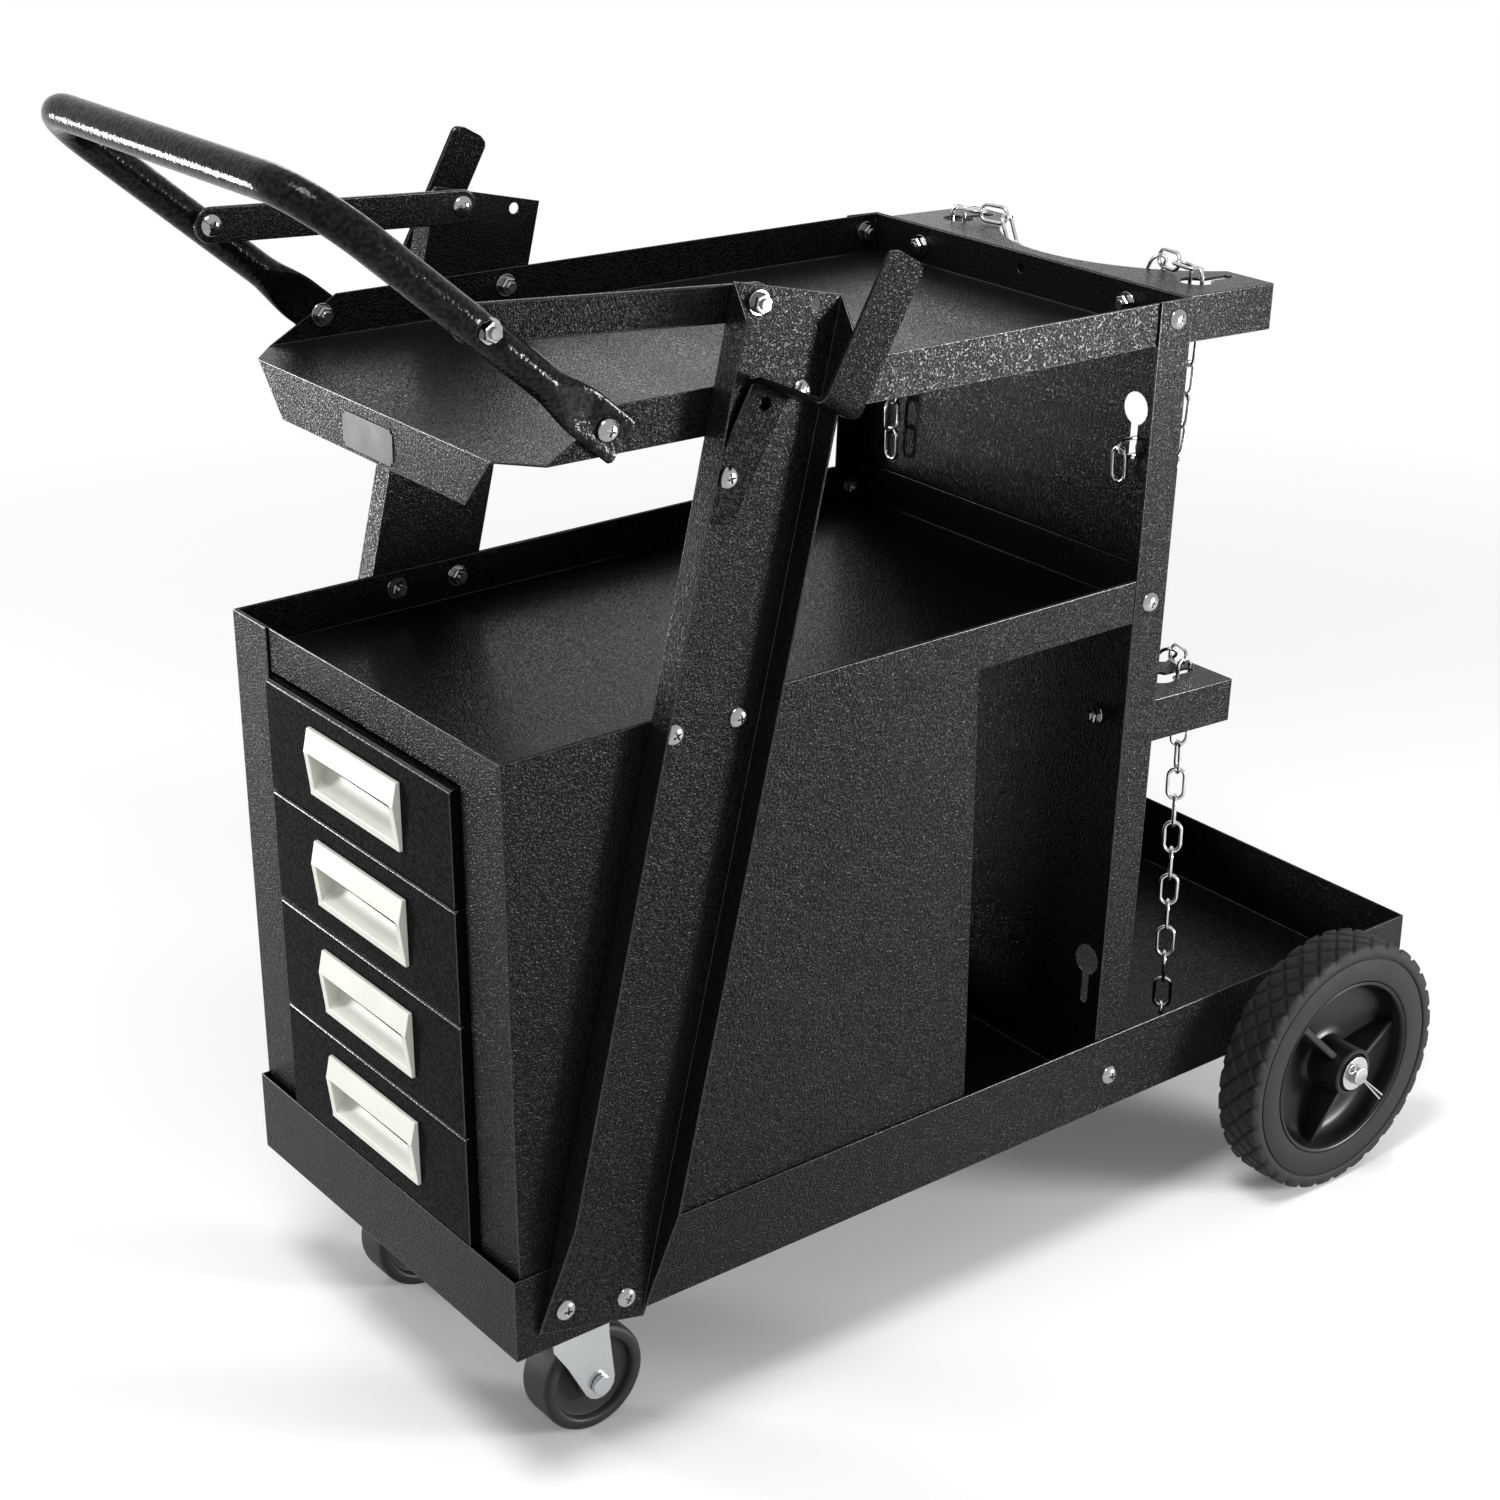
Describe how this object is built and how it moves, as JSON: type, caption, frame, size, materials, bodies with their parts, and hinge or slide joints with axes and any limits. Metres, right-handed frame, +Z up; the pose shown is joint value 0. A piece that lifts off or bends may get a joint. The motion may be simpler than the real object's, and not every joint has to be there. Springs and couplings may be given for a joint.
{
  "type": "welding cart",
  "caption": "Black steel welding cart with a tilted top tray, stacked drawers, a loop handle, rear bottle brackets with chains, two large wheels and two swivel casters.",
  "frame": {"origin": "on the floor under the middle of the cart's overall length and width", "axes": "+X towards the gas bottle end and the large wheels, +Y towards the left of a person who stands at the handle facing the cart, +Z up"},
  "size_m": [0.8274, 0.412, 0.7686],
  "materials": {
    "paint": "black powder coat with a fine wrinkle",
    "handle_paint": "smooth gloss black coat",
    "pull": "ivory plastic, fine satin",
    "zinc": "bright zinc plate",
    "axle": "bare steel",
    "tyre": "dark grey rubber",
    "hub": "gloss black plastic",
    "caster_tread": "dark grey hard rubber"
  },
  "bodies": {
    "chassis": {"axle_bracket_left": "paint", "axle_bracket_right": "paint", "axle_washer_left": "zinc", "axle_washer_right": "zinc", "base_tray": "paint", "cabinet_back": "paint", "cabinet_side_left": "paint", "cabinet_side_right": "paint", "caster_plate_left": "zinc", "caster_plate_right": "zinc", "cotter_pin_left": "zinc", "cotter_pin_right": "zinc", "drawer_runner_left": "paint", "drawer_runner_right": "paint", "front_post_left": "paint", "front_post_right": "paint", "handle": "handle_paint", "handle_brace_left": "paint", "handle_brace_right": "paint", "lower_chain": "zinc", "lower_tank_bracket": "paint", "mid_shelf": "paint", "rear_axle": "axle", "rear_panel": "paint", "top_tray": "paint", "torch_hook_left": "paint", "torch_hook_right": "paint", "upper_chain": "zinc", "upper_tank_bracket": "paint"},
    "drawer_1_body": {"drawer_1": "paint", "drawer_pull_1": "pull"},
    "drawer_2_body": {"drawer_2": "paint", "drawer_pull_2": "pull"},
    "drawer_3_body": {"drawer_3": "paint", "drawer_pull_3": "pull"},
    "drawer_4_body": {"drawer_4": "paint", "drawer_pull_4": "pull"},
    "wheel_right": {"tyre_right": "tyre", "wheel_hub_right": "hub"},
    "caster_swivel_right": {"caster_fork_right": "zinc", "caster_bolt_right": "zinc"},
    "caster_roller_right": {"caster_wheel_right": "caster_tread"},
    "wheel_left": {"tyre_left": "tyre", "wheel_hub_left": "hub"},
    "caster_swivel_left": {"caster_fork_left": "zinc", "caster_bolt_left": "zinc"},
    "caster_roller_left": {"caster_wheel_left": "caster_tread"}
  },
  "joints": [
    {"name": "drawer_1_slide", "type": "slide", "parent": "chassis", "child": "drawer_1_body", "axis": [-1, 0, 0], "range_m": [0, 0.25]},
    {"name": "drawer_2_slide", "type": "slide", "parent": "chassis", "child": "drawer_2_body", "axis": [-1, 0, 0], "range_m": [0, 0.25]},
    {"name": "drawer_3_slide", "type": "slide", "parent": "chassis", "child": "drawer_3_body", "axis": [-1, 0, 0], "range_m": [0, 0.25]},
    {"name": "drawer_4_slide", "type": "slide", "parent": "chassis", "child": "drawer_4_body", "axis": [-1, 0, 0], "range_m": [0, 0.25]},
    {"name": "wheel_right_spin", "type": "hinge", "parent": "chassis", "child": "wheel_right", "pos_m": [0.30736, -0.175, 0.089], "axis": [0, 1, 0], "continuous": true},
    {"name": "caster_right_swivel", "type": "hinge", "parent": "chassis", "child": "caster_swivel_right", "pos_m": [-0.25884, -0.094, 0.09], "axis": [0, 0, 1], "continuous": true},
    {"name": "caster_right_spin", "type": "hinge", "parent": "caster_swivel_right", "child": "caster_roller_right", "pos_m": [-0.24464, -0.094, 0.0345], "axis": [0, 1, 0], "continuous": true},
    {"name": "wheel_left_spin", "type": "hinge", "parent": "chassis", "child": "wheel_left", "pos_m": [0.30736, 0.175, 0.089], "axis": [0, 1, 0], "continuous": true},
    {"name": "caster_left_swivel", "type": "hinge", "parent": "chassis", "child": "caster_swivel_left", "pos_m": [-0.25884, 0.094, 0.09], "axis": [0, 0, 1], "continuous": true},
    {"name": "caster_left_spin", "type": "hinge", "parent": "caster_swivel_left", "child": "caster_roller_left", "pos_m": [-0.24464, 0.094, 0.0345], "axis": [0, 1, 0], "continuous": true}
  ]
}
